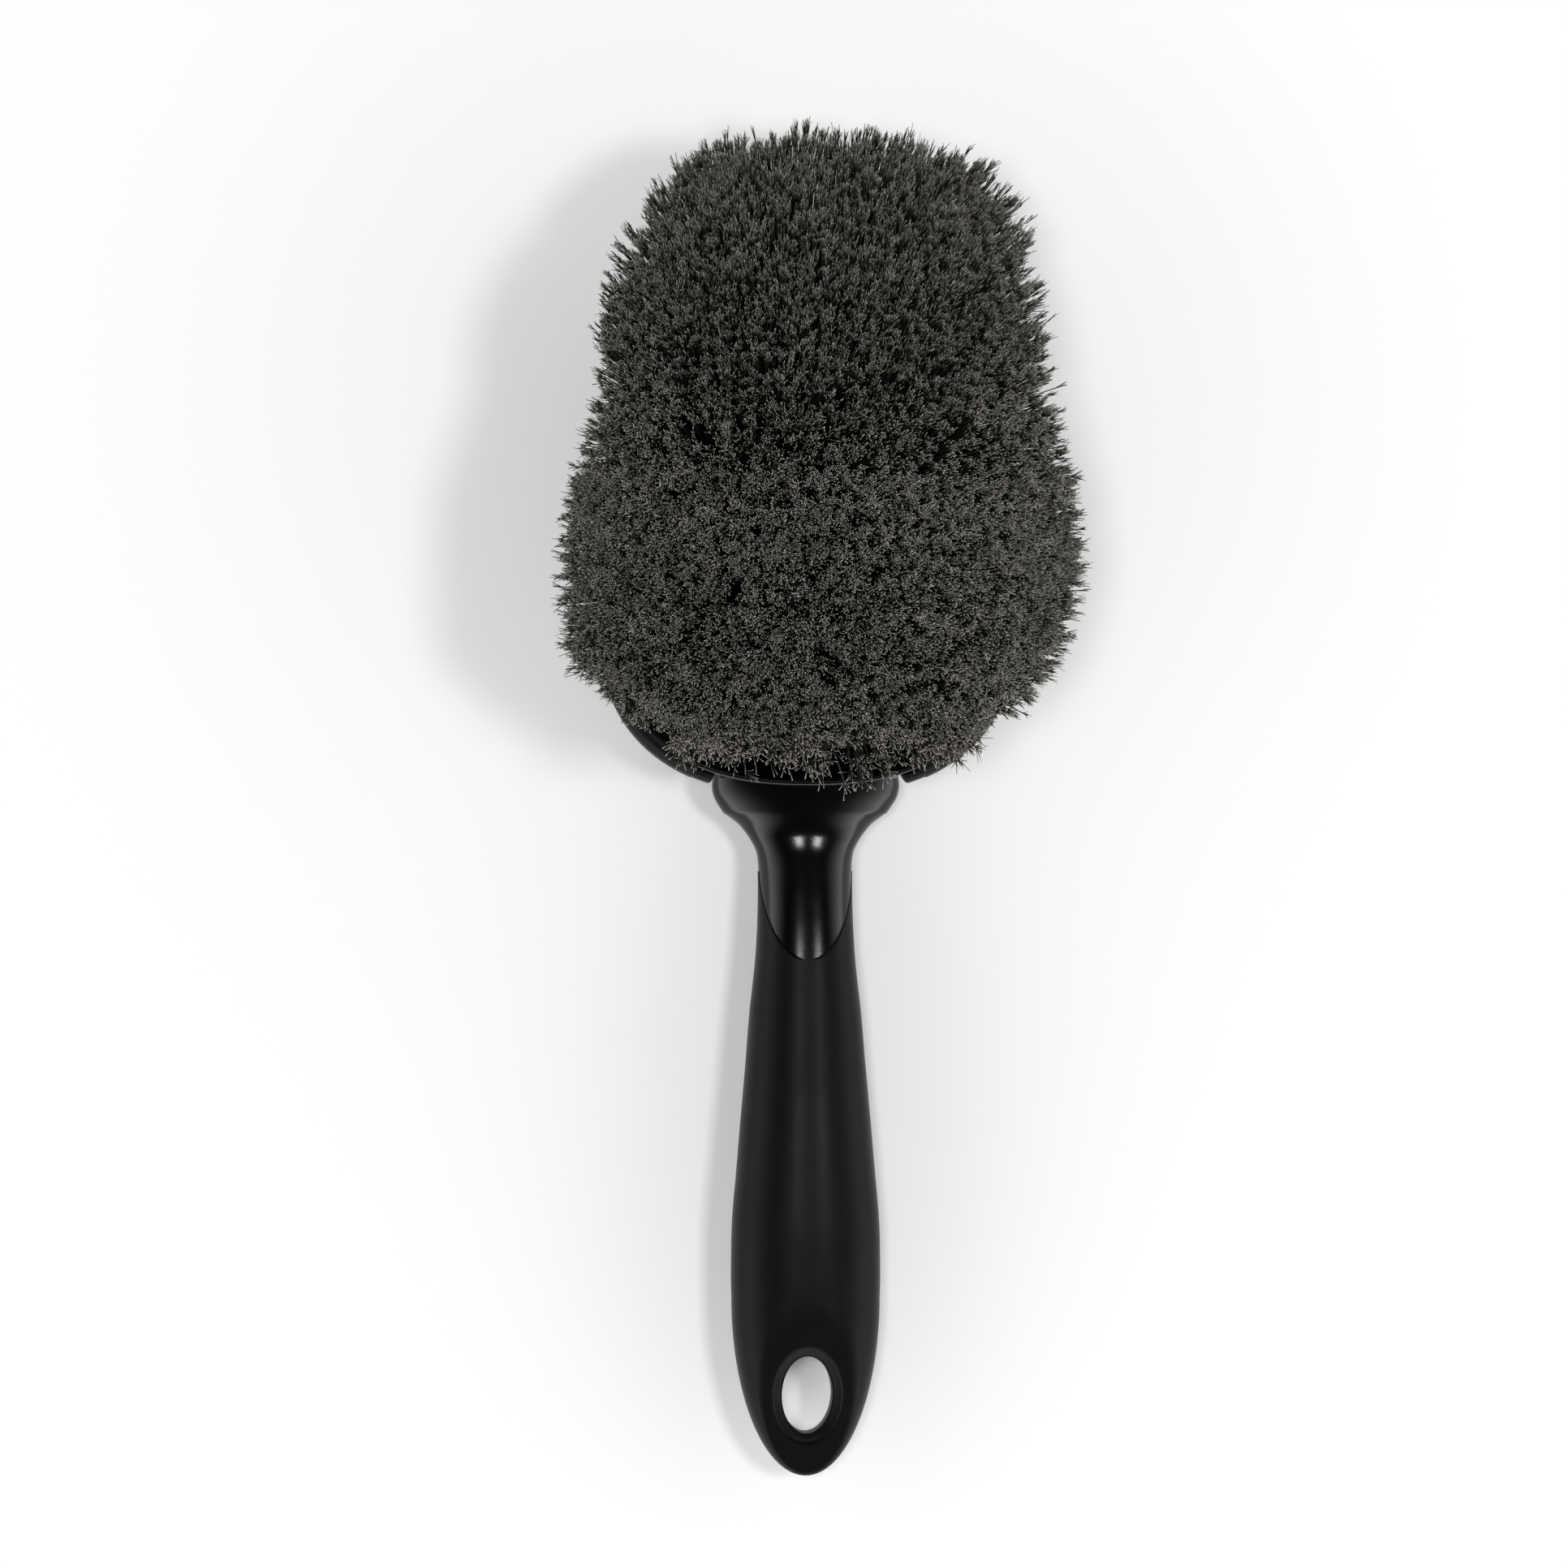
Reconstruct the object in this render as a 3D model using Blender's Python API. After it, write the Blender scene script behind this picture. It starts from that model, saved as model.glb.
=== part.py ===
"""A wheel brush: a hard moulded core with a dished head, a soft grip and a bumper moulded over
it, and a drilled block that holds sixteen rows of soft bristles.

Lengths are metres and angles are degrees. The brush lies on its back. The origin is the centre
of the flat on the head's back, +Y runs from the handle to the toe, and +Z is the way that the
bristles stand.
"""

import math

import bmesh
import bpy
from mathutils import Matrix, Vector

GAP = 0.0003                    # clearance between two pieces that touch
OUTLINE_POINTS = 48

# The head's outline is egg-shaped, widest nearer the heel, and drawn at the bumper's outer edge.
HEAD_HALF_WIDTH = 0.0460
HEAD_WIDEST_Y = -0.0277
HEEL_REACH = 0.0374
HEEL_POWER = 2.4
TOE_REACH = 0.0865
TOE_POWER = 3.0

# The rim stands level from the heel forward, then bends down to the toe.
RIM_HEIGHT = 0.0240
BEND_START_Y = 0.0100
BEND_RADIUS = 0.0800

# The shell's outer wall, as (share of the rim's height, distance in from the outline).
SHELL_WALL = ((0.0, 0.0140), (0.06, 0.0098), (0.18, 0.0064), (0.38, 0.0042), (0.62, 0.0029), (1.0, 0.0024))
# The dish inside the rim, as (depth below the rim, distance in from the outline).
SHELL_DISH = ((0.0, 0.0040), (0.0012, 0.0052), (0.0032, 0.0074), (0.0048, 0.0100))
TRAY_FLOOR = 0.0050

# The bumper's section, as (share of the rim's height, distance in from the outline).
BUMPER_SECTION = ((1.0, 0.0021), (1.0, 0.0008), (0.93, 0.0), (0.73, 0.0), (0.65, 0.0008), (0.62, 0.0025))
BUMPER_END_TURN = 24.0          # how far round from the heel's centre the strip ends
BUMPER_STATIONS = 48

# The block fills the tray, and its face follows the rim's bend.
BLOCK_INSET = 0.0105
RECESS_DEPTH = 0.0050
BLOCK_STATIONS = 22

# The handle's stations, as (y, half width, underside, top side), from inside the head's heel wall.
HANDLE_STATIONS = (
    (-0.0575, 0.0205, 0.0066, 0.0184),
    (-0.0630, 0.0214, 0.0046, 0.0190),
    (-0.0660, 0.0202, 0.0038, 0.0189),
    (-0.0690, 0.0182, 0.0033, 0.0184),
    (-0.0716, 0.0147, 0.0030, 0.0177),
    (-0.0745, 0.0123, 0.0028, 0.0172),
    (-0.0785, 0.0107, 0.0025, 0.0172),
    (-0.0860, 0.0103, 0.0020, 0.0180),
    (-0.0960, 0.0106, 0.0013, 0.0197),
    (-0.1100, 0.0119, 0.0006, 0.0217),
    (-0.1330, 0.0140, 0.0, 0.0238),
    (-0.1600, 0.0162, 0.0, 0.0246),
    (-0.1764, 0.0164, 0.0, 0.0242),
)
HANDLE_POWER = 2.25
HANDLE_STEP = 0.0050
SECTION_POINTS = 24

# The handle ends in half an ellipse, whose top is cut by a plane that slopes down to the end.
END_REACH = 0.0396
END_STATIONS = (0.15, 0.30, 0.45, 0.60, 0.72, 0.82, 0.90, 0.96, 0.99)
SLANT_START_Y = -0.1790
SLANT_HEIGHT = 0.0242
SLANT = 0.26

# The rubber starts straight across the sides and back, and leaves a rounded tongue in front.
SLEEVE_START_Y = -0.0816
TONGUE_LENGTH = 0.0194
TONGUE_HALF_WIDTH = 0.0108
TONGUE_ROUNDING = 1.8
TONGUE_UNDERSIDE = 0.0095
SPINE_START_Y = -0.0760
SPINE_END_Y = -0.2115
SPINE_COVER = 0.0032            # rubber over the spine at the sides
SPINE_COVER_FLAT = 0.0040       # rubber over the spine above and below

# The hang hole is an oval that narrows to its waist from both sides.
EYE_Y = -0.1976
EYE_WAIST = (0.0056, 0.0087)
# Its width, as (height, how much wider than at the waist).
EYE_LEVELS = (
    (-0.0020, 0.0026),
    (0.0, 0.0022),
    (0.0080, 0.0),
    (0.0130, 0.0),
    (0.0200, 0.0022),
    (0.0300, 0.0054),
)
SPINE_EYE = (0.0080, 0.0118)

# Bristle rows stand across the head. They lean out at the heel and the toe, and fan to the sides.
ROW_COUNT = 16
FIRST_ROW_Y = -0.0420
LAST_ROW_Y = 0.0410
ROW_EDGE_INSET = 0.0125
BRISTLE_LENGTH = 0.0480
HEEL_LEAN = 13.0
HEEL_LEAN_START_Y = -0.0180
TOE_LEAN = 56.0
TOE_LEAN_START_Y = 0.0040
# How far the two ends of a row fan to the sides, as (y, splay).
SPLAY_STATIONS = (
    (0.0410, 12.0),
    (0.0240, 16.5),
    (0.0020, 20.0),
    (-0.0180, 25.0),
    (-0.0310, 18.0),
    (-0.0420, 9.0),
)
ROOT_CLEARANCE = 0.0006         # between the block's face and the underside of a row's brush
ROW_SHARES = (-1.0, -0.8, -0.45, 0.0, 0.45, 0.8, 1.0)
ROW_LEVELS = (0.0, 0.5, 1.0)

TUFT_PITCH = 0.0080
TUFT_RADIUS = 0.0021
TUFT_SIDES = 6
TUFT_DEPTH = 0.0078
TUFT_OVERLAP = 0.0030           # how far a tuft's root runs up into the row's brush

HARD_PLASTIC = ("hard_black_plastic", (0.012, 0.012, 0.013), 0.28)
SOFT_RUBBER = ("soft_black_rubber", (0.022, 0.022, 0.023), 0.72)
BLOCK_PLASTIC = ("block_plastic", (0.010, 0.010, 0.010), 0.55)
BRISTLES = ("grey_bristles", (0.060, 0.058, 0.052), 0.85)


def clear_scene():
    for obj in list(bpy.data.objects):
        bpy.data.objects.remove(obj)


def new_collection(name):
    collection = bpy.data.collections.new(name)
    bpy.context.scene.collection.children.link(collection)
    return collection


def new_material(name, color, roughness):
    material = bpy.data.materials.new(name)
    material.use_nodes = True
    shader = material.node_tree.nodes["Principled BSDF"]
    shader.inputs["Base Color"].default_value = (*color, 1.0)
    shader.inputs["Roughness"].default_value = roughness
    shader.inputs["Metallic"].default_value = 0.0
    return material


def add_object(name, bm, collection, material=None):
    """Turns a bmesh into an object of this name, with its faces pointing out."""
    bmesh.ops.recalc_face_normals(bm, faces=bm.faces)
    mesh = bpy.data.meshes.new(name)
    bm.to_mesh(mesh)
    bm.free()
    mesh.shade_smooth()
    mesh.set_sharp_from_angle(angle=math.radians(35))
    obj = bpy.data.objects.new(name, mesh)
    collection.objects.link(obj)
    if material:
        mesh.materials.append(material)
    else:
        obj.hide_render = True
        obj.display_type = "WIRE"
    return obj


def add_boolean(obj, other, operation):
    modifier = obj.modifiers.new(other.name, "BOOLEAN")
    modifier.object = other
    modifier.operation = operation
    modifier.solver = "EXACT"


def loft(loops):
    """Joins closed loops of equally many points, and closes the first and the last with a face.

    Every four-sided face is split along the same diagonal, so that a loft and a slightly larger
    one round it stay clear of each other all over.
    """
    bm = bmesh.new()
    rings = [[bm.verts.new(point) for point in loop] for loop in loops]
    count = len(rings[0])
    for lower, upper in zip(rings, rings[1:]):
        for i in range(count):
            j = (i + 1) % count
            bm.faces.new((lower[i], lower[j], upper[j], upper[i]))
    sides = list(bm.faces)
    bm.faces.new(rings[0])
    bm.faces.new(rings[-1])
    bmesh.ops.triangulate(bm, faces=sides, quad_method="FIXED")
    return bm


def signed_power(value, power):
    return math.copysign(abs(value) ** power, value)


def blend_stations(stations, y):
    """Smooth values at y from stations in falling y, by a cubic through each pair of neighbours."""
    last = len(stations) - 2
    i = min(last, max(0, sum(y < station[0] for station in stations) - 1))
    before, start, end, after = (stations[k] for k in (max(i - 1, 0), i, i + 1, min(i + 2, last + 1)))
    span = end[0] - start[0]
    t = (y - start[0]) / span
    values = []
    for p0, p1, p2, p3 in zip(before[1:], start[1:], end[1:], after[1:]):
        rise_in = (p2 - p0) / (end[0] - before[0]) * span
        rise_out = (p3 - p1) / (after[0] - start[0]) * span
        values.append(
            p1 * (2 * t**3 - 3 * t**2 + 1)
            + rise_in * (t**3 - 2 * t**2 + t)
            + p2 * (3 * t**2 - 2 * t**3)
            + rise_out * (t**3 - t**2)
        )
    return values


def rim_height(y):
    bend = max(0.0, y - BEND_START_Y)
    return RIM_HEIGHT - bend * bend / (2 * BEND_RADIUS)


def block_face(y):
    return rim_height(y) - RECESS_DEPTH


def outline_point(turn, inset):
    """The head's outline in plan, drawn in by inset. Turn runs from 0 at the heel right round."""
    side, along = math.sin(turn), -math.cos(turn)
    toeward = along > 0
    reach = (TOE_REACH if toeward else HEEL_REACH) - inset
    power = 2 / (TOE_POWER if toeward else HEEL_POWER)
    x = signed_power(side, power) * (HEAD_HALF_WIDTH - inset)
    return x, HEAD_WIDEST_Y + signed_power(along, power) * reach


def outline_half_width(y, inset):
    """The half width, at y, of the head's outline drawn in by inset."""
    toeward = y > HEAD_WIDEST_Y
    reach = (TOE_REACH if toeward else HEEL_REACH) - inset
    power = TOE_POWER if toeward else HEEL_POWER
    share = min(1.0, abs(y - HEAD_WIDEST_Y) / reach)
    return (HEAD_HALF_WIDTH - inset) * (1 - share**power) ** (1 / power)


def outline_loop(inset, height_at):
    loop = []
    for i in range(OUTLINE_POINTS):
        x, y = outline_point(2 * math.pi * i / OUTLINE_POINTS, inset)
        loop.append((x, y, height_at(y)))
    return loop


def head_shell():
    """The bowl: up its outer wall, over the rim, down the dish and the tray's wall to its floor."""
    loops = []
    for share, inset in SHELL_WALL:
        loops.append(outline_loop(inset, lambda y, share=share: share * rim_height(y)))
    for depth, inset in SHELL_DISH:
        loops.append(outline_loop(inset, lambda y, depth=depth: rim_height(y) - depth))
    loops.append(outline_loop(SHELL_DISH[-1][1], lambda y: TRAY_FLOOR))
    return loft(loops)


def handle_size(y):
    """Half width, underside and top side of the handle at y."""
    end_centre = HANDLE_STATIONS[-1][0]
    half_width, low, high = blend_stations(HANDLE_STATIONS, max(y, end_centre))
    share = min(1.0, max(0.0, (end_centre - y) / END_REACH))
    shrink = math.sqrt(1 - share * share)
    middle = (low + high) / 2
    half_height = (high - low) / 2 * shrink**0.8
    return half_width * shrink, middle - half_height, middle + half_height


def slant_height(y):
    return SLANT_HEIGHT - (SLANT_START_Y - y) * SLANT


def handle_loop(y, cover_side, cover_flat):
    """The handle's section at y, drawn in by a cover of rubber at the sides and above and below."""
    half_width, low, high = handle_size(y)
    half_width -= cover_side
    half_height = (high - low) / 2 - cover_flat
    ceiling = slant_height(y) - cover_flat if y < SLANT_START_Y else high
    loop = []
    for i in range(SECTION_POINTS):
        turn = 2 * math.pi * i / SECTION_POINTS
        x = half_width * signed_power(math.cos(turn), 2 / HANDLE_POWER)
        z = (low + high) / 2 + half_height * signed_power(math.sin(turn), 2 / HANDLE_POWER)
        loop.append((x, y, min(z, ceiling)))
    return loop


def handle_ys(start, end):
    """Places along the handle from start to end, on one common spacing that closes up at its end."""
    first, end_centre = HANDLE_STATIONS[0][0], HANDLE_STATIONS[-1][0]
    count = round((first - end_centre) / HANDLE_STEP)
    common = [first + (end_centre - first) * i / count for i in range(count + 1)]
    common += [end_centre - END_REACH * share for share in END_STATIONS]
    return [start] + [y for y in common if start > y > end] + [end]


def handle_body():
    end = HANDLE_STATIONS[-1][0] - END_REACH * END_STATIONS[-1]
    return loft([handle_loop(y, 0.0, 0.0) for y in handle_ys(HANDLE_STATIONS[0][0], end)])


def spine_body(clearance):
    side, flat = SPINE_COVER - clearance, SPINE_COVER_FLAT - clearance
    ys = handle_ys(SPINE_START_Y + clearance, SPINE_END_Y - clearance)
    return loft([handle_loop(y, side, flat) for y in ys])


def tongue_half_width(y, clearance):
    length = TONGUE_LENGTH + clearance
    share = min(1.0, max(0.0, (SLEEVE_START_Y - y) / length))
    return (TONGUE_HALF_WIDTH + clearance) * math.sqrt(1 - share**TONGUE_ROUNDING)


def tongue_zone(clearance):
    """The upright prism that the tongue is cut by. Its round end faces down the handle."""
    steps = 12
    right = []
    for i in range(steps + 1):
        share = math.sin(math.pi / 2 * i / steps)
        y = SLEEVE_START_Y - (TONGUE_LENGTH + clearance) * share
        right.append((tongue_half_width(y, clearance), y))
    back = SLEEVE_START_Y + 0.004
    outline = [(right[0][0], back), *right, *[(-x, y) for x, y in reversed(right[:-1])], (-right[0][0], back)]
    low = TONGUE_UNDERSIDE - clearance
    return loft([[(x, y, z) for x, y in outline] for z in (low, 0.040)])


def box_between(low, high):
    bm = bmesh.new()
    size = Vector(high) - Vector(low)
    middle = (Vector(high) + Vector(low)) / 2
    bmesh.ops.create_cube(bm, size=1.0, matrix=Matrix.Translation(middle) @ Matrix.Diagonal((*size, 1.0)))
    return bm


def ellipse_loop(half_x, half_y, z):
    loop = []
    for i in range(24):
        turn = 2 * math.pi * i / 24
        loop.append((half_x * math.cos(turn), EYE_Y + half_y * math.sin(turn), z))
    return loop


def eye_cutter():
    half_x, half_y = EYE_WAIST
    return loft([ellipse_loop(half_x + flare, half_y + flare, z) for z, flare in EYE_LEVELS])


def spine_eye_cutter(clearance):
    half_x, half_y = SPINE_EYE
    return loft([ellipse_loop(half_x - clearance, half_y - clearance, z) for z in (-0.005, 0.035)])


def add_hard_zone(name, clearance, cutters):
    """The space that the hard plastic takes: all of the neck, and the tongue over the grip."""
    front = SLEEVE_START_Y - clearance
    zone = add_object(name, box_between((-0.05, front, -0.01), (0.05, 0.0, 0.05)), cutters)
    add_boolean(zone, add_object(f"{name}_tongue", tongue_zone(clearance), cutters), "UNION")
    return zone


def add_handle_core(parts, cutters, material):
    """The hard moulding: head shell, collar, neck, tongue, and the spine inside the grip."""
    core = add_object("handle_core", head_shell(), parts, material)
    neck = add_object("neck_solid", handle_body(), cutters)
    add_boolean(neck, add_hard_zone("neck_zone", 0.0, cutters), "INTERSECT")
    spine = add_object("spine_solid", spine_body(0.0), cutters)
    add_boolean(spine, add_object("spine_eye", spine_eye_cutter(0.0), cutters), "DIFFERENCE")
    add_boolean(core, neck, "UNION")
    add_boolean(core, spine, "UNION")


def add_grip_sleeve(parts, cutters, material):
    """The soft overmoulding, cut back round the core with a fine gap."""
    sleeve = add_object("grip_sleeve", handle_body(), parts, material)
    room = add_object("spine_room", spine_body(GAP), cutters)
    add_boolean(room, add_object("spine_eye_room", spine_eye_cutter(GAP), cutters), "DIFFERENCE")
    add_boolean(sleeve, add_hard_zone("neck_room", GAP, cutters), "DIFFERENCE")
    add_boolean(sleeve, room, "DIFFERENCE")
    add_boolean(sleeve, add_object("hang_hole", eye_cutter(), cutters), "DIFFERENCE")


def add_bumper(parts, material):
    """The rubber strip round the rim, from one shoulder round the toe to the other."""
    start = math.radians(BUMPER_END_TURN)
    loops = []
    for i in range(BUMPER_STATIONS + 1):
        turn = start + (2 * math.pi - 2 * start) * i / BUMPER_STATIONS
        at_end = i in (0, BUMPER_STATIONS)
        loop = []
        for share, inset in BUMPER_SECTION:
            if at_end:
                share = 0.81 + (share - 0.81) * 0.75
                inset = 0.0021 + (inset - 0.0021) * 0.6
            x, y = outline_point(turn, inset)
            loop.append((x, y, share * rim_height(y)))
        loops.append(loop)
    add_object("head_bumper", loft(loops), parts, material)


def row_y(row):
    return FIRST_ROW_Y + (LAST_ROW_Y - FIRST_ROW_Y) * row / (ROW_COUNT - 1)


def lean_at(y):
    """How far the bristles rooted at y lean towards the toe (or, below zero, the heel)."""
    if y < HEEL_LEAN_START_Y:
        return -HEEL_LEAN * (HEEL_LEAN_START_Y - y) / (HEEL_LEAN_START_Y - FIRST_ROW_Y)
    if y > TOE_LEAN_START_Y:
        return TOE_LEAN * (y - TOE_LEAN_START_Y) / (LAST_ROW_Y - TOE_LEAN_START_Y)
    return 0.0


def splay_at(y):
    """How far the bristles at the two ends of the row at y fan to the sides."""
    return blend_stations(SPLAY_STATIONS, y)[0]


def bristle_direction(lean, splay):
    lean, splay = math.radians(lean), math.radians(splay)
    return Vector((math.sin(splay), math.cos(splay) * math.sin(lean), math.cos(splay) * math.cos(lean)))


def row_half_width(row):
    pitch = row_y(1) - row_y(0)
    edges = (row_y(row) - pitch / 2, row_y(row) + pitch / 2)
    return min(outline_half_width(y, ROW_EDGE_INSET) for y in edges)


def row_brush(row):
    """One row's brush as a fan. Its two faces lie on planes midway to the neighbouring rows."""
    pitch = row_y(1) - row_y(0)
    half_width = row_half_width(row) + TUFT_RADIUS + GAP
    splay = splay_at(row_y(row))
    loops = []
    for share in ROW_SHARES:
        loop = []
        for side in (-1, 1):
            edge_y = row_y(row) + side * pitch / 2
            lean = lean_at(edge_y)
            across = Vector((0.0, math.cos(math.radians(lean)), -math.sin(math.radians(lean))))
            root = Vector((share * half_width, edge_y, block_face(edge_y) + ROOT_CLEARANCE))
            root -= across * side * GAP * 2 / 3
            direction = bristle_direction(lean, share * splay)
            column = [root + direction * BRISTLE_LENGTH * level for level in ROW_LEVELS]
            loop += column if side < 0 else column[::-1]
        loops.append(loop)
    return loft(loops)


def tuft_places(row):
    """The x of each tuft in a row. The tufts of neighbouring rows are staggered."""
    half_width = row_half_width(row)
    shift = TUFT_PITCH / 2 if row % 2 else 0.0
    reach = math.ceil(half_width / TUFT_PITCH) + 1
    places = [i * TUFT_PITCH + shift for i in range(-reach, reach)]
    return [x for x in places if abs(x) <= half_width]


def add_rods(bm, row, radius, low, high):
    """Six-sided rods along the row's tufts, from low to high along each tuft's own direction."""
    y = row_y(row)
    for x in tuft_places(row):
        splay = splay_at(y) * x / row_half_width(row)
        direction = bristle_direction(lean_at(y), splay)
        middle = Vector((x, y, block_face(y))) + direction * (low + high) / 2
        turned = direction.to_track_quat("Z", "Y").to_matrix().to_4x4()
        bmesh.ops.create_cone(
            bm,
            cap_ends=True,
            segments=TUFT_SIDES,
            radius1=radius,
            radius2=radius,
            depth=high - low,
            matrix=Matrix.Translation(middle) @ turned,
        )


def add_bristle_rows(parts, cutters, material):
    for row in range(ROW_COUNT):
        brush = add_object(f"bristle_row_{row + 1:02d}", row_brush(row), parts, material)
        rods = bmesh.new()
        add_rods(rods, row, TUFT_RADIUS, GAP - TUFT_DEPTH, TUFT_OVERLAP)
        add_boolean(brush, add_object(f"tuft_roots_{row + 1:02d}", rods, cutters), "UNION")


def add_tuft_block(parts, cutters, material):
    """The block, lofted from heel to toe and drilled along each tuft."""
    heel = HEAD_WIDEST_Y - (HEEL_REACH - BLOCK_INSET)
    toe = HEAD_WIDEST_Y + (TOE_REACH - BLOCK_INSET)
    low = TRAY_FLOOR + GAP
    loops = []
    for i in range(BLOCK_STATIONS + 1):
        share = (1 - math.cos(math.pi * i / BLOCK_STATIONS)) / 2
        y = heel + (toe - heel) * (0.002 + 0.996 * share)
        half_width = outline_half_width(y, BLOCK_INSET)
        high = block_face(y)
        sides = ((-1, low), (1, low), (1, high), (-1, high))
        loops.append([(side * half_width, y, z) for side, z in sides])
    block = add_object("tuft_block", loft(loops), parts, material)
    drills = bmesh.new()
    for row in range(ROW_COUNT):
        add_rods(drills, row, TUFT_RADIUS + GAP, -TUFT_DEPTH, TUFT_OVERLAP)
    add_boolean(block, add_object("tuft_drills", drills, cutters), "DIFFERENCE")


def main():
    clear_scene()
    parts = new_collection("wheel_brush")
    cutters = new_collection("cutters")
    hard_plastic = new_material(*HARD_PLASTIC)
    soft_rubber = new_material(*SOFT_RUBBER)
    add_handle_core(parts, cutters, hard_plastic)
    add_grip_sleeve(parts, cutters, soft_rubber)
    add_bumper(parts, soft_rubber)
    add_tuft_block(parts, cutters, new_material(*BLOCK_PLASTIC))
    add_bristle_rows(parts, cutters, new_material(*BRISTLES))


main()
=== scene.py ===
"""The looks of the wheel brush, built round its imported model.

Lengths are metres and angles are degrees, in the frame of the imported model: the brush lies on its
back, +Y runs from the handle to the toe, and +Z is the way that the bristles stand.
"""

import math

import bmesh
import bpy
import numpy as np
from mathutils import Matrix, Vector


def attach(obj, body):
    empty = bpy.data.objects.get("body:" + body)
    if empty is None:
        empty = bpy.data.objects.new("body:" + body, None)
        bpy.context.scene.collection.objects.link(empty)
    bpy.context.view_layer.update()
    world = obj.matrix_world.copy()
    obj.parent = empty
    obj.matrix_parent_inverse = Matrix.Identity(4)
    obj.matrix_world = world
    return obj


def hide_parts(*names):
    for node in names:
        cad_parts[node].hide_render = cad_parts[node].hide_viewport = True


# ---- Shared dimensions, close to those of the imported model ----

# The head's outline in plan is egg-shaped, and the rim bends down towards the toe.
HEAD_HALF_WIDTH = 0.0460
HEAD_WIDEST_Y = -0.0277
HEEL_REACH = 0.0374
HEEL_POWER = 2.4
TOE_REACH = 0.0865
TOE_POWER = 3.0
RIM_HEIGHT = 0.0240
BEND_START_Y = 0.0100
BEND_RADIUS = 0.0800
RECESS_DEPTH = 0.0050
TRAY_FLOOR = 0.0050

# Bristle rows.
ROW_COUNT = 16
FIRST_ROW_Y = -0.0420
LAST_ROW_Y = 0.0410
ROW_EDGE_INSET = 0.0125
BRISTLE_LENGTH = 0.0480
HEEL_LEAN = 11.0
HEEL_LEAN_START_Y = -0.0180
TOE_LEAN = 56.0
TOE_LEAN_START_Y = 0.0040
# How far the two ends of a row fan to the sides, and how far all of it leans right, at each y.
SPLAY_STATIONS = (
    (0.0410, 21.3, 4.6),
    (0.0250, 20.0, 0.8),
    (0.0130, 20.0, 0.5),
    (0.0020, 23.2, 0.4),
    (-0.0180, 24.8, 0.2),
    (-0.0310, 21.5, -2.0),
    (-0.0420, 7.0, 0.6),
)
TOE_CORNER_LEAN = 0.26          # the share of its lean that the toe loses at its rows' ends
TOE_CORNER_SKEW = 0.15          # how much more of it the left end loses than the right one
TUFT_PITCH = 0.0080
TUFT_RADIUS = 0.0021

# ---- The hard core ----

OUTLINE_POINTS = 224
WALL_STEPS = 4                  # how many times finer than its table a profile is
LIP_STEPS = 2
# The bowl's profile, as (distance in from the outline, share of the rim's height, rise above that).
BOWL_WALL = (
    (0.0185, 0.0, 0.0),
    (0.0140, 0.008, 0.0),
    (0.0118, 0.030, 0.0),
    (0.0098, 0.068, 0.0),
    (0.0064, 0.190, 0.0),
    (0.0042, 0.390, 0.0),
    (0.0029, 0.640, 0.0),
    (0.0024, 0.960, 0.0),
)
BOWL_LIP = (
    (0.0024, 1.0, -0.0009),
    (0.0025, 1.0, -0.0004),
    (0.0028, 1.0, -0.0001),
    (0.0033, 1.0, 0.0),
    (0.0039, 1.0, -0.0002),
    (0.0045, 1.0, -0.0006),
    (0.0054, 1.0, -0.0014),
    (0.0066, 1.0, -0.0026),
    (0.0079, 1.0, -0.0037),
    (0.0092, 1.0, -0.0045),
    (0.0100, 1.0, -0.0048),
)

# The collar and the neck, as (y, half width, underside, top side). A crease parts the two.
COLLAR_STATIONS = (
    (-0.0575, 0.0200, 0.0066, 0.0215),
    (-0.0610, 0.0207, 0.0053, 0.0207),
    (-0.0630, 0.0209, 0.0046, 0.0202),
    (-0.0655, 0.0203, 0.0039, 0.0195),
    (-0.0687, 0.0183, 0.0034, 0.0185),
)
NECK_STATIONS = (
    (-0.0687, 0.0183, 0.0034, 0.0185),
    (-0.0698, 0.0167, 0.0032, 0.01815),
    (-0.0713, 0.0148, 0.0031, 0.01770),
    (-0.0727, 0.0136, 0.0029, 0.01738),
    (-0.0742, 0.0125, 0.0028, 0.01725),
    (-0.0770, 0.0110, 0.0026, 0.01740),
    (-0.0800, 0.0105, 0.0024, 0.01795),
    (-0.0860, 0.0104, 0.0020, 0.01905),
    (-0.0920, 0.0105, 0.0016, 0.01990),
    (-0.0965, 0.0107, 0.0013, 0.02040),
    (-0.1010, 0.0110, 0.0010, 0.02080),
    (-0.1060, 0.0115, 0.0007, 0.02120),
    (-0.1130, 0.0123, 0.0005, 0.0218),
    (-0.1240, 0.0132, 0.0002, 0.0228),
    (-0.1340, 0.0141, 0.0, 0.0237),
    (-0.1480, 0.0153, 0.0, 0.0243),
    (-0.1600, 0.0163, 0.0, 0.0246),
    (-0.1720, 0.0165, 0.0, 0.0244),
    (-0.1764, 0.0164, 0.0, 0.0242),
)
# How boxy the top of the section is, as (y, power). The saddle of the neck is the most pointed.
TOP_POWERS = (
    (-0.0575, 2.05),
    (-0.0700, 1.92),
    (-0.0760, 1.88),
    (-0.0880, 2.08),
    (-0.0990, 2.17),
    (-0.1150, 2.10),
    (-0.1764, 2.05),
)
UNDERSIDE_POWER = 2.3
COLLAR_RINGS = 16
NECK_RINGS = 30
TONGUE_RINGS = 40
CORE_TOP_POINTS = 61
CORE_UNDER_POINTS = 63
SHARP_ANGLE = 40.0              # an edge that turns more than this is shaded sharp
CORE_SHARP_ANGLE = 28.0
GRIP_SHARP_ANGLE = 45.0

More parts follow.
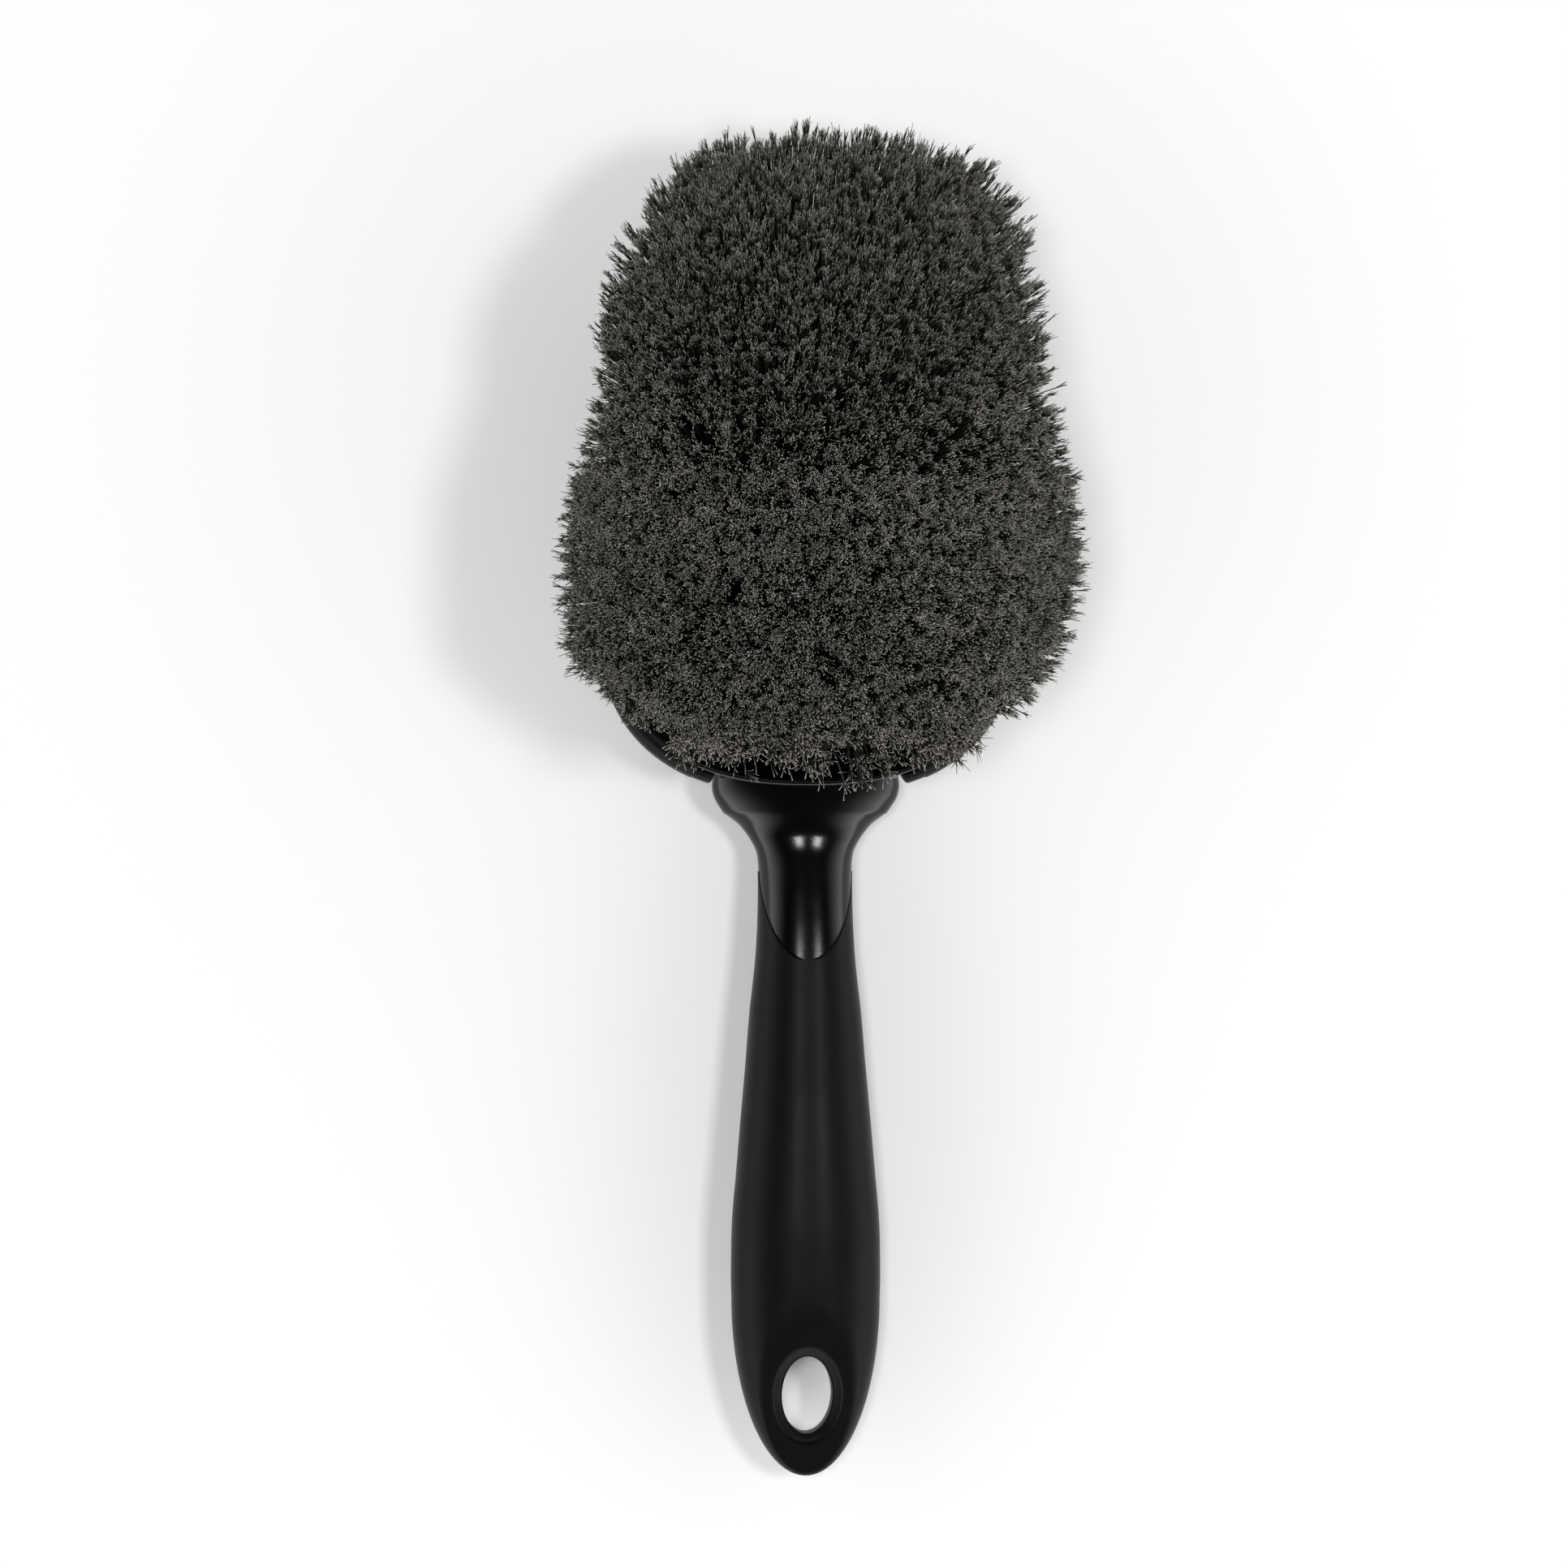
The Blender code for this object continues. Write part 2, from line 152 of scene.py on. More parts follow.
# The tongue of hard plastic that runs down the front of the grip.
SLEEVE_START_Y = -0.0816
TONGUE_LENGTH = 0.0194
TONGUE_HALF_WIDTH = 0.0103
TONGUE_ROUNDING = 1.9
TONGUE_DEPTH = 0.0014
TONGUE_TIP_HALF_WIDTH = 0.00005
EDGE_RADIUS = 0.00016
GROOVE = 0.00010                # between the tongue and the rubber
GROOVE_END_HALF_WIDTH = 0.0001  # where the groove is this narrow, it has closed
RUBBER_PROUD = 0.00012

# The grip's end is half an ellipse, cut by a plane that slopes down to the end.
END_REACH = 0.0396
END_SHARE = 0.9995              # how much of that reach the last ring has
END_THINNING = 0.8              # below 1, the end keeps its height longer than its width
SLANT_START_Y = -0.1790
SLANT_MARGIN = 0.010            # how far before its start the plane is looked for
SLANT_HEIGHT = 0.0242
SLANT = 0.26
SLANT_BLEND = 0.0010

SKIN_POINTS = 120
SEAT_POINTS = 14
GRIP_RINGS = 60
END_RINGS = 56
END_RINGS_LEAD = 0.004          # how far before the slant the end's closer rings start
UPPER_HALF_HEIGHT = 0.010       # the skin above this can be the groove's edge
WELD_DISTANCE = 1e-6
DEGENERATE_LENGTH = 1e-7

# The hang hole, as (height above the slanted face, how much wider than the waist).
EYE_Y = -0.1976
EYE_WAIST = (0.0056, 0.0087)
EYE_POINTS = 96
EYE_TOP_LEVELS = (
    (0.0020, 0.0044),
    (0.0002, 0.00265),
    (-0.0003, 0.0024),
    (-0.0006, 0.0022),
    (-0.0009, 0.0016),
    (-0.0013, 0.0006),
    (-0.0018, 0.0001),
    (-0.0026, 0.0),
    (-0.0075, 0.0),
)
EYE_UNDERSIDE_LEVELS = (
    (0.0050, 0.0007),
    (0.0020, 0.0012),
    (0.0006, 0.0018),
    (0.0001, 0.0025),
    (-0.0020, 0.0048),
)

# ---- The bumper ----

# Both sections, as (distance in from the outline, share of the rim's height, rise above that).
BUMPER_WRAP = (
    (0.0056, 1.0, -0.0014),
    (0.0051, 1.0, -0.0005),
    (0.0043, 1.0, 0.0003),
    (0.0034, 1.0, 0.0006),
    (0.0024, 1.0, 0.0006),
    (0.0014, 1.0, 0.0002),
    (0.0006, 1.0, -0.0006),
    (0.0001, 1.0, -0.0018),
    (-0.0001, 1.0, -0.0036),
    (0.0001, 0.74, 0.0),
    (0.0005, 0.68, 0.0),
    (0.0012, 0.64, 0.0),
    (0.0026, 0.62, 0.0),
    (0.0032, 0.66, 0.0),
    (0.0030, 0.86, 0.0),
    (0.0036, 1.0, -0.0016),
)
BUMPER_TAIL = (
    (0.0027, 0.90, 0.0),
    (0.0024, 0.92, 0.0),
    (0.0019, 0.93, 0.0),
    (0.0014, 0.93, 0.0),
    (0.0010, 0.92, 0.0),
    (0.0006, 0.90, 0.0),
    (0.0003, 0.87, 0.0),
    (0.0001, 0.83, 0.0),
    (0.0001, 0.78, 0.0),
    (0.0003, 0.74, 0.0),
    (0.0006, 0.70, 0.0),
    (0.0012, 0.67, 0.0),
    (0.0024, 0.66, 0.0),
    (0.0030, 0.70, 0.0),
    (0.0030, 0.78, 0.0),
    (0.0029, 0.86, 0.0),
)
BUMPER_END_TURN = 24.0
BUMPER_END_BLEND = 0.8          # the turn over which an end swells to the full section
BUMPER_END_SWELL = 0.45         # the share of the section that it swells by
BUMPER_CORE = (0.0030, 0.80)    # what it swells from, as (distance in, share of the rim's height)
BUMPER_WRAP_TURN = 30.0
BUMPER_WRAP_BLEND = 0.5
BUMPER_END_STEPS = (0.0, 0.08, 0.2, 0.4, 0.8, 2.0, 4.0, 5.9, 6.0, 6.5)
BUMPER_MIDDLE_STEP = 7.5        # where the evenly spaced rings start
BUMPER_MIDDLE_RINGS = 220


# ---- Small helpers ----

def signed_power(value, power):
    return math.copysign(abs(value) ** power, value)


def blend_stations(stations, y):
    """Smooth values at y from stations in falling y, by a cubic through each pair of neighbours."""
    last = len(stations) - 2
    i = min(last, max(0, sum(y < station[0] for station in stations) - 1))
    before, start, end, after = (stations[k] for k in (max(i - 1, 0), i, i + 1, min(i + 2, last + 1)))
    span = end[0] - start[0]
    t = (y - start[0]) / span
    values = []
    for p0, p1, p2, p3 in zip(before[1:], start[1:], end[1:], after[1:]):
        rise_in = (p2 - p0) / (end[0] - before[0]) * span
        rise_out = (p3 - p1) / (after[0] - start[0]) * span
        values.append(
            p1 * (2 * t**3 - 3 * t**2 + 1)
            + rise_in * (t**3 - 2 * t**2 + t)
            + p2 * (3 * t**2 - 2 * t**3)
            + rise_out * (t**3 - t**2)
        )
    return values


def refine(points, steps):
    """Puts more points between the points of an open line, on a smooth curve through them."""
    line = [np.array(point, dtype=float) for point in points]
    line = [2 * line[0] - line[1], *line, 2 * line[-1] - line[-2]]
    finer = []
    for p0, p1, p2, p3 in zip(line, line[1:], line[2:], line[3:]):
        for step in range(steps):
            t = step / steps
            finer.append(
                p1
                + (p2 - p0) * t / 2
                + (2 * p0 - 5 * p1 + 4 * p2 - p3) * t * t / 2
                + (3 * p1 - p0 - 3 * p2 + p3) * t**3 / 2
            )
    finer.append(line[-2])
    return finer


def rim_height(y):
    bend = max(0.0, y - BEND_START_Y)
    return RIM_HEIGHT - bend * bend / (2 * BEND_RADIUS)


def outline_point(turn, inset):
    """The head's outline in plan, drawn in by inset. Turn runs from 0 at the heel right round."""
    side, along = math.sin(turn), -math.cos(turn)
    toeward = along > 0
    reach = (TOE_REACH if toeward else HEEL_REACH) - inset
    power = 2 / (TOE_POWER if toeward else HEEL_POWER)
    x = signed_power(side, power) * (HEAD_HALF_WIDTH - inset)
    return x, HEAD_WIDEST_Y + signed_power(along, power) * reach


def outline_half_width(y, inset):
    """The half width, at y, of the head's outline drawn in by inset."""
    toeward = y > HEAD_WIDEST_Y
    reach = (TOE_REACH if toeward else HEEL_REACH) - inset
    power = TOE_POWER if toeward else HEEL_POWER
    share = min(1.0, abs(y - HEAD_WIDEST_Y) / reach)
    return (HEAD_HALF_WIDTH - inset) * (1 - share**power) ** (1 / power)


def loft(loops):
    """Joins closed loops of equally many points, and closes the first and the last with a face."""
    bm = bmesh.new()
    rings = [[bm.verts.new(point) for point in loop] for loop in loops]
    count = len(rings[0])
    for lower, upper in zip(rings, rings[1:]):
        for i in range(count):
            j = (i + 1) % count
            bm.faces.new((lower[i], lower[j], upper[j], upper[i]))
    bm.faces.new(rings[0])
    bm.faces.new(rings[-1])
    return bm


def add_object(name, bm, material):
    """Turns a bmesh into a smooth object of this name, with its faces pointing out."""
    bmesh.ops.recalc_face_normals(bm, faces=bm.faces)
    mesh = bpy.data.meshes.new(name)
    bm.to_mesh(mesh)
    bm.free()
    mesh.shade_smooth()
    mesh.set_sharp_from_angle(angle=math.radians(SHARP_ANGLE))
    mesh.materials.append(material)
    obj = bpy.data.objects.new(name, mesh)
    bpy.context.scene.collection.objects.link(obj)
    return obj


def apply_boolean(obj, other, operation, sharp_angle):
    """Joins or cuts obj with the other object, keeps the result in obj's mesh and drops the other."""
    modifier = obj.modifiers.new(other.name, "BOOLEAN")
    modifier.object = other
    modifier.operation = operation
    modifier.solver = "EXACT"
    evaluated = obj.evaluated_get(bpy.context.evaluated_depsgraph_get())
    mesh = bpy.data.meshes.new_from_object(evaluated)
    obj.modifiers.clear()
    old = obj.data
    obj.data = mesh
    mesh.name = obj.name
    bpy.data.meshes.remove(old)
    bpy.data.objects.remove(other)
    mesh.shade_smooth()
    mesh.set_sharp_from_angle(angle=math.radians(sharp_angle))


# ---- The hard core: bowl, collar, neck and tongue ----

def bowl():
    """Up the outer wall, over the rounded lip, down the dish and the tray's wall to its floor."""
    profile = refine(BOWL_WALL, WALL_STEPS) + refine(BOWL_LIP, LIP_STEPS)
    loops = []
    for inset, share, rise in profile:
        loop = []
        for i in range(OUTLINE_POINTS):
            x, y = outline_point(2 * math.pi * i / OUTLINE_POINTS, inset)
            loop.append((x, y, share * rim_height(y) + rise))
        loops.append(loop)
    loops.append([(x, y, TRAY_FLOOR) for x, y, _ in loops[-1]])
    return loft(loops)


def handle_size(y, stations):
    """Half width, underside and top side of the handle at y."""
    end_centre = NECK_STATIONS[-1][0]
    half_width, low, high = blend_stations(stations, max(y, end_centre))
    share = min(1.0, max(0.0, (end_centre - y) / END_REACH))
    shrink = math.sqrt(1 - share * share)
    middle = (low + high) / 2
    half_height = (high - low) / 2 * shrink**END_THINNING
    return half_width * shrink, middle - half_height, middle + half_height


def slant_height(y):
    return SLANT_HEIGHT - (SLANT_START_Y - y) * SLANT


def soft_minimum(a, b, blend):
    share = min(1.0, max(0.0, 0.5 + (b - a) / (2 * blend)))
    return b + (a - b) * share - blend * share * (1 - share)


def top_power(y):
    return blend_stations(TOP_POWERS, max(y, TOP_POWERS[-1][0]))[0]


def section_point(y, angle, stations, proud=0.0):
    """A point of the handle's skin at y. The angle starts at +X and turns up over the top."""
    half_width, low, high = handle_size(y, stations)
    power = 2 / (top_power(y) if math.sin(angle) > 0 else UNDERSIDE_POWER)
    x = (half_width + proud) * signed_power(math.cos(angle), power)
    z = (low + high) / 2 + ((high - low) / 2 + proud) * signed_power(math.sin(angle), power)
    if y < SLANT_START_Y + SLANT_MARGIN:
        z = soft_minimum(z, slant_height(y), SLANT_BLEND)
    return x, y, z


def tongue_half_width(y, clearance):
    share = min(1.0, max(0.0, (SLEEVE_START_Y - y) / (TONGUE_LENGTH + clearance)))
    return (TONGUE_HALF_WIDTH + clearance) * math.sqrt(1 - share**TONGUE_ROUNDING)


def edge_angle(y, half_width_there, proud):
    """The angle at which the skin of the handle's top is that far from the middle."""
    width = handle_size(y, NECK_STATIONS)[0] + proud
    return math.acos(min(1.0, half_width_there / width) ** (top_power(y) / 2))


def tongue_ys(clearance):
    """Places along the tongue, closer together towards its round tip."""
    length = TONGUE_LENGTH + clearance
    turns = [math.pi / 2 * i / TONGUE_RINGS for i in range(TONGUE_RINGS + 1)]
    return [SLEEVE_START_Y - length * math.sin(turn) for turn in turns]


def core_ring(y, stations):
    """A full ring of the collar or neck: across the top from +X, then back underneath."""
    first = edge_angle(SLEEVE_START_Y, TONGUE_HALF_WIDTH, 0.0)
    top_span, under_span = math.pi - 2 * first, math.pi + 2 * first
    top = [first + top_span * i / (CORE_TOP_POINTS - 1) for i in range(CORE_TOP_POINTS)]
    under = [under_span * (i + 1) / (CORE_UNDER_POINTS + 1) for i in range(CORE_UNDER_POINTS)]
    angles = top + [math.pi - first + angle for angle in under]
    return [section_point(y, angle, stations) for angle in angles]


def edge_drop(from_edge, radius):
    """How far a rounded edge drops the surface, at that distance in from the edge."""
    inside = radius - min(radius, max(0.0, from_edge))
    return radius - math.sqrt(radius**2 - inside**2)


def tongue_ring(y):
    """A ring of the tongue: its crowned top with rounded edges, and a flat underside below it."""
    half_width = max(tongue_half_width(y, 0.0), TONGUE_TIP_HALF_WIDTH)
    radius = min(EDGE_RADIUS, half_width)
    first = edge_angle(y, half_width, 0.0)
    span = math.pi - 2 * first
    ring = []
    for i in range(CORE_TOP_POINTS):
        x, _, z = section_point(y, first + span * i / (CORE_TOP_POINTS - 1), NECK_STATIONS)
        ring.append((x, y, z - edge_drop(half_width - abs(x), radius)))
    edge_x, _, edge_z = ring[0]
    for i in range(CORE_UNDER_POINTS):
        share = (i + 1) / (CORE_UNDER_POINTS + 1)
        ring.append((-edge_x + 2 * edge_x * share, y, edge_z - TONGUE_DEPTH))
    return ring


def neck_and_tongue():
    collar_ys = np.linspace(COLLAR_STATIONS[0][0], COLLAR_STATIONS[-1][0], COLLAR_RINGS)
    neck_ys = np.linspace(NECK_STATIONS[0][0], SLEEVE_START_Y, NECK_RINGS)[1:]
    loops = [core_ring(y, COLLAR_STATIONS) for y in collar_ys]
    loops += [core_ring(y, NECK_STATIONS) for y in neck_ys]
    loops += [tongue_ring(y) for y in tongue_ys(0.0)]
    return loft(loops)


def build_core(material):
    core = add_object("hard_core", bowl(), material)
    neck = add_object("neck_and_tongue", neck_and_tongue(), material)
    apply_boolean(core, neck, "UNION", CORE_SHARP_ANGLE)
    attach(core, "root")
    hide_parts("handle_core")


# ---- The soft grip ----

def sleeve_ring(y):
    """A ring of the rubber: its skin from one edge of the tongue's groove round to the other, then
    down the groove's wall and across the seat under the tongue. Past the tip the groove closes."""
    half_width = tongue_half_width(y, GROOVE)
    first = edge_angle(y, half_width, RUBBER_PROUD)
    span = math.pi + 2 * first
    ring = []
    for i in range(SKIN_POINTS):
        angle = first - span * i / (SKIN_POINTS - 1)
        x, _, z = section_point(y, angle, NECK_STATIONS, RUBBER_PROUD)
        if z > UPPER_HALF_HEIGHT and half_width > EDGE_RADIUS:
            z -= edge_drop(abs(x) - half_width, EDGE_RADIUS)
        ring.append((x, y, z))
    edge_x, _, edge_z = ring[0]
    depth = TONGUE_DEPTH + GROOVE if half_width > GROOVE_END_HALF_WIDTH else 0.0
    for i in range(SEAT_POINTS):
        share = i / (SEAT_POINTS - 1)
        ring.append((-edge_x + 2 * edge_x * share, y, edge_z - depth))
    return ring


def sleeve_body():
    tip = SLEEVE_START_Y - TONGUE_LENGTH - GROOVE
    end_centre = NECK_STATIONS[-1][0]
    front = [y for y in tongue_ys(GROOVE) if y < SLEEVE_START_Y - GROOVE]
    middle = list(np.linspace(tip, SLANT_START_Y + END_RINGS_LEAD, GRIP_RINGS))[1:]
    first_turn = math.asin((end_centre - middle[-1]) / END_REACH)
    turns = np.linspace(first_turn, math.asin(END_SHARE), END_RINGS)[1:]
    end = [end_centre - END_REACH * math.sin(turn) for turn in turns]
    bm = loft([sleeve_ring(y) for y in [SLEEVE_START_Y - GROOVE, *front, *middle, *end]])
    bmesh.ops.remove_doubles(bm, verts=bm.verts, dist=WELD_DISTANCE)
    bmesh.ops.dissolve_degenerate(bm, edges=bm.edges, dist=DEGENERATE_LENGTH)
    return bm


def hang_hole():
    """The funnel that the hang hole is cut by. Its upper rings follow the slanted face."""
    levels = [(level, flare, True) for level, flare in EYE_TOP_LEVELS]
    levels += [(level, flare, False) for level, flare in EYE_UNDERSIDE_LEVELS]
    loops = []
    for level, flare, from_top in levels:
        loop = []
        for i in range(EYE_POINTS):
            turn = 2 * math.pi * i / EYE_POINTS
            x = (EYE_WAIST[0] + flare) * math.cos(turn)
            y = EYE_Y + (EYE_WAIST[1] + flare) * math.sin(turn)
            loop.append((x, y, level + (slant_height(y) if from_top else 0.0)))
        loops.append(loop)
    return loft(loops)


def build_grip(material):
    grip = add_object("soft_grip", sleeve_body(), material)
    hole = add_object("hang_hole", hang_hole(), material)
    apply_boolean(grip, hole, "DIFFERENCE", GRIP_SHARP_ANGLE)
    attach(grip, "root")
    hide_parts("grip_sleeve")


# ---- The bumper ----

def bumper_loop(turn):
    """The strip's section: a low tail by the shoulder, then one that wraps over the rim."""
    from_heel = math.degrees(min(turn, 2 * math.pi - turn))
    wrap = min(1.0, max(0.0, (from_heel - BUMPER_WRAP_TURN) / BUMPER_WRAP_BLEND))
    along_end = min(1.0, (from_heel - BUMPER_END_TURN) / BUMPER_END_BLEND)
    swell = math.sqrt(max(0.0, 1 - (1 - along_end) ** 2))
    fullness = 1 - BUMPER_END_SWELL + BUMPER_END_SWELL * swell
    core_inset, core_share = BUMPER_CORE
    loop = []
    for tail, over in zip(BUMPER_TAIL, BUMPER_WRAP):
        inset, share, rise = (a + (b - a) * wrap for a, b in zip(tail, over))
        share = core_share + (share - core_share) * fullness
        inset = core_inset + (inset - core_inset) * fullness
        x, y = outline_point(turn, inset)
        loop.append((x, y, share * rim_height(y) + rise))
    return loop


def build_bumper(material):
    ends = [BUMPER_END_TURN + step for step in BUMPER_END_STEPS]
    middle_start = BUMPER_END_TURN + BUMPER_MIDDLE_STEP
    middle = np.linspace(middle_start, 360.0 - middle_start, BUMPER_MIDDLE_RINGS)
    turns = [*ends, *middle, *(360.0 - turn for turn in reversed(ends))]
    bumper = add_object("rim_bumper", loft([bumper_loop(math.radians(t)) for t in turns]), material)
    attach(bumper, "root")
    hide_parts("head_bumper")


# ---- The drilled block ----

def dress_block(block):
    """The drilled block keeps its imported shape, and gets a material."""
    slot = block.material_slots[0]
    slot.link = "OBJECT"
    slot.material = block_material()


# ---- The bristles ----

# Each tuft's filaments leave one drilled hole and spread until their tips fill the tuft's share of
# the brush face. Every filament splits near its tip into finer, curling flags.
FILAMENTS_PER_TUFT = 150
EDGE_TUFT_FILL = 2.2            # a row's end tufts are fuller
FAN_FILAMENTS = 0.08            # how fast a tuft's count grows with its share of the brush face
ROOT_DEPTH = 0.0025
ROOT_SPREAD = 0.92              # how much of the hole the roots fill
ROOT_LEAST_CHORD = 0.05         # their least reach across the hole, squared, at its sides
ROW_SCATTER = 0.22              # how far tips stray from their row's strip, in rows
FACE_SCATTER = 0.0007           # how far they stray along it
LAST_ROW_STRAY = 0.4            # how far the toe's row reaches past its line, in rows
TUFT_LEAN = 0.0109
FILAMENT_LEAN = 0.012
TUFT_LENGTH_SPREAD = 0.0005
LENGTH_SPREAD = 0.0013
TOE_SHORTER = 0.0019

# Waves of unevenness over the brush face, as (radians per metre across, the same along, phase).
RIPPLE_WAVES = ((310.0, 140.0, 0.4), (-170.0, 390.0, 0.84), (640.0, 520.0, 0.28), (-560.0, 730.0, 0.52))
RIPPLE_PEAK = 2.6
RIPPLE_HEIGHT = 0.0009

# The outermost filaments at the heel hang over the rim, most at DROOP_X.
HEEL_FLARE = 5.5
OUTWARD_LIMIT = 1.2
DROOP_X = 0.0050
DROOP_WIDTH = 0.0090
DROOP_ELSEWHERE = 0.1

# Tips draw together in clumps. The toe's are tighter, and their flags more parallel.
CLUMP_SHARE = 0.20              # clumps for each filament
CLUMP_SIZE = 0.0017
CLUMP_SHIFT = 0.0005
CLUMP_PULL = 0.68
TOE_CLUMP_PULL = 0.86
CLUMP_PULL_RANGE = (0.5, 1.2)

SHAFT_STEPS = 4
SHAFT_RADIUS = 0.00013
SHAFT_RADIUS_RANGE = (0.85, 1.15)
SHAFT_WAVE = 0.00022
SHAFT_WAVES = 1.5               # half waves along a shaft
BEND_PLACE = 0.45               # where along a shaft its bend is
BEND_STRAIGHTNESS = 0.45
FLAG_STEPS = 3
FLAGS_PER_FILAMENT = 5
FLAG_LENGTH = (0.0032, 0.0062)
FLAG_LENGTH_RANGE = (0.62, 1.08)
FLAG_OVERLAP = 0.05             # the share of a filament that runs on inside its flags
FLAG_RADIUS = 0.000102
FLAG_RADIUS_RANGE = (0.75, 1.25)
FLAG_TAPER = 0.78
FLAG_SPREAD = 0.115
TOE_FLAG_SPREAD = 0.078
FLAG_CURL = 0.00030
FLAG_TWIST = 0.6                # as a share of its curl
OUTWARD_WILDNESS = 1.3          # how much more the drooping flags spread and curl
HELPER_LIFT = np.array((0.0, 0.0, 0.01))  # keeps a strand's helper direction from vanishing

# A strand's U picks its tint, and its V runs along the ramp of tone and painted shade from its root to its
# tip.
TINT_COLUMNS = 128
COLUMN_MARGIN = 0.2
CAP_SPAN = 0.004
WARM_SHARE = 0.12               # how many strands take a warm tint
WARM_OUTWARD_SHARE = 0.7        # how many more of those that droop do
ROOT_TONE = 0.02
FLAG_TONE = 0.70
TIP_TONE = 0.98
PAINTED_SHADE_TIP_TONE = 0.955           # where strands that lean or fan far end on the ramp: painted shade on their tips
PAINTED_SHADE_LEAN = 14.0                # the lean to the toe at which tips take the full painted shade, and rows the toe's clumping
PAINTED_SHADE_SIDE_LEANS = (11.0, 26.0)  # the fans at which painted shade on the tips starts, and is full
# Brightness along a strand, as (V, brightness): painted shade on the roots and deep parts, and lighter
# flagged tips.
TONE_AND_PAINTED_SHADE_ALONG = ((0.0, 0.05), (0.70, 0.07), (0.84, 0.10), (0.92, 0.40), (0.98, 1.58))
SEED = 7


def row_y(row):
    return FIRST_ROW_Y + (LAST_ROW_Y - FIRST_ROW_Y) * row / (ROW_COUNT - 1)


def row_half_width(row):
    pitch = row_y(1) - row_y(0)
    edges = (row_y(row) - pitch / 2, row_y(row) + pitch / 2)
    return min(outline_half_width(y, ROW_EDGE_INSET) for y in edges)


def tuft_places(row):
    """The x of each tuft in a row. The tufts of neighbouring rows are staggered."""
    half_width = row_half_width(row)
    shift = TUFT_PITCH / 2 if row % 2 else 0.0
    reach = math.ceil(half_width / TUFT_PITCH) + 1
    places = [i * TUFT_PITCH + shift for i in range(-reach, reach)]
    return [x for x in places if abs(x) <= half_width]


def lean_at(y):
    """How far bristles rooted at each y lean towards the toe (or, below zero, the heel)."""
    heel = -HEEL_LEAN * (HEEL_LEAN_START_Y - y) / (HEEL_LEAN_START_Y - FIRST_ROW_Y)
    toe = TOE_LEAN * (y - TOE_LEAN_START_Y) / (LAST_ROW_Y - TOE_LEAN_START_Y)
    return np.minimum(heel, 0.0) + np.maximum(toe, 0.0)


def splay_at(y):
    """The fan at the row's ends, and the lean to the right, for each y."""
    return np.array([blend_stations(SPLAY_STATIONS, value) for value in y]).T


def direction_of(lean, splay):
    lean, splay = np.radians(lean), np.radians(splay)
    return np.stack((np.sin(splay), np.cos(splay) * np.sin(lean), np.cos(splay) * np.cos(lean)), axis=-1)


def block_face(y):
    bend = np.maximum(0.0, y - BEND_START_Y)
    return RIM_HEIGHT - bend * bend / (2 * BEND_RADIUS) - RECESS_DEPTH


def ripple(x, y):
    """A smooth unevenness over the brush face, between about -1 and 1."""
    waves = [np.sin(x * across + y * along + phase) for across, along, phase in RIPPLE_WAVES]
    return sum(waves) / RIPPLE_PEAK


def unit(vectors):
    return vectors / np.linalg.norm(vectors, axis=-1, keepdims=True)


def strand_points(lines, radii, rng):
    """Three points round each point of each line, turned about it by a random amount."""
    count, steps, _ = lines.shape
    tangents = unit(np.gradient(lines, axis=1))
    helper = unit(rng.normal(size=(count, 1, 3)) + HELPER_LIFT)
    side = unit(np.cross(tangents, helper))
    other = np.cross(tangents, side)
    points = np.empty((count, steps, 3, 3))
    for corner in range(3):
        angle = 2 * math.pi * corner / 3
        outward = math.cos(angle) * side + math.sin(angle) * other
        points[:, :, corner] = lines + radii[..., None] * outward
    return points


def strand_faces(count, steps):
    """The four-sided faces along each strand, and the two triangles that close it."""
    index = np.arange(count * steps * 3).reshape(count, steps, 3)
    quads = np.empty((count, steps - 1, 3, 4), dtype=np.int64)
    for corner in range(3):
        following = (corner + 1) % 3
        quads[:, :, corner, 0] = index[:, :-1, corner]
        quads[:, :, corner, 1] = index[:, :-1, following]
        quads[:, :, corner, 2] = index[:, 1:, following]
        quads[:, :, corner, 3] = index[:, 1:, corner]
    return quads, np.concatenate((index[:, 0, ::-1], index[:, -1, :]))


def strand_uvs(columns, v_start, v_end, steps):
    """UVs for those faces: U stays in the strand's tint column, and V runs along the strand."""
    count = len(columns)
    u_low = (columns + COLUMN_MARGIN) / TINT_COLUMNS
    u_high = (columns + (1 - COLUMN_MARGIN)) / TINT_COLUMNS
    v_end = np.broadcast_to(v_end, (count,))[:, None]
    v = v_start + (v_end - v_start) * np.linspace(0.0, 1.0, steps)[None, :]
    quad_uv = np.empty((count, steps - 1, 3, 4, 2))
    for k, (u, low) in enumerate(((u_low, True), (u_high, True), (u_high, False), (u_low, False))):
        quad_uv[..., k, 0] = u[:, None, None]
        quad_uv[..., k, 1] = (v[:, :-1] if low else v[:, 1:])[:, :, None]
    cap_uv = np.empty((2 * count, 3, 2))
    for k, u in enumerate((u_low, u_high, u_high)):
        cap_uv[:, k, 0] = np.tile(u, 2)
    cap_uv[:count, :, 1] = v[:, :1] + np.array((0.0, 0.0, CAP_SPAN))
    cap_uv[count:, :, 1] = v[:, -1:] - np.array((0.0, 0.0, CAP_SPAN))
    return quad_uv, cap_uv


def strand_group(lines, radii, columns, v_range, rng):
    """Closed strands along lines of points, as flat arrays of points, quads, end caps and UVs."""
    count, steps, _ = lines.shape
    points = strand_points(lines, radii, rng)
    quads, caps = strand_faces(count, steps)
    quad_uv, cap_uv = strand_uvs(columns, *v_range, steps)
    return points.reshape(-1, 3), quads.reshape(-1, 4), caps, quad_uv.reshape(-1, 2), cap_uv.reshape(-1, 2)


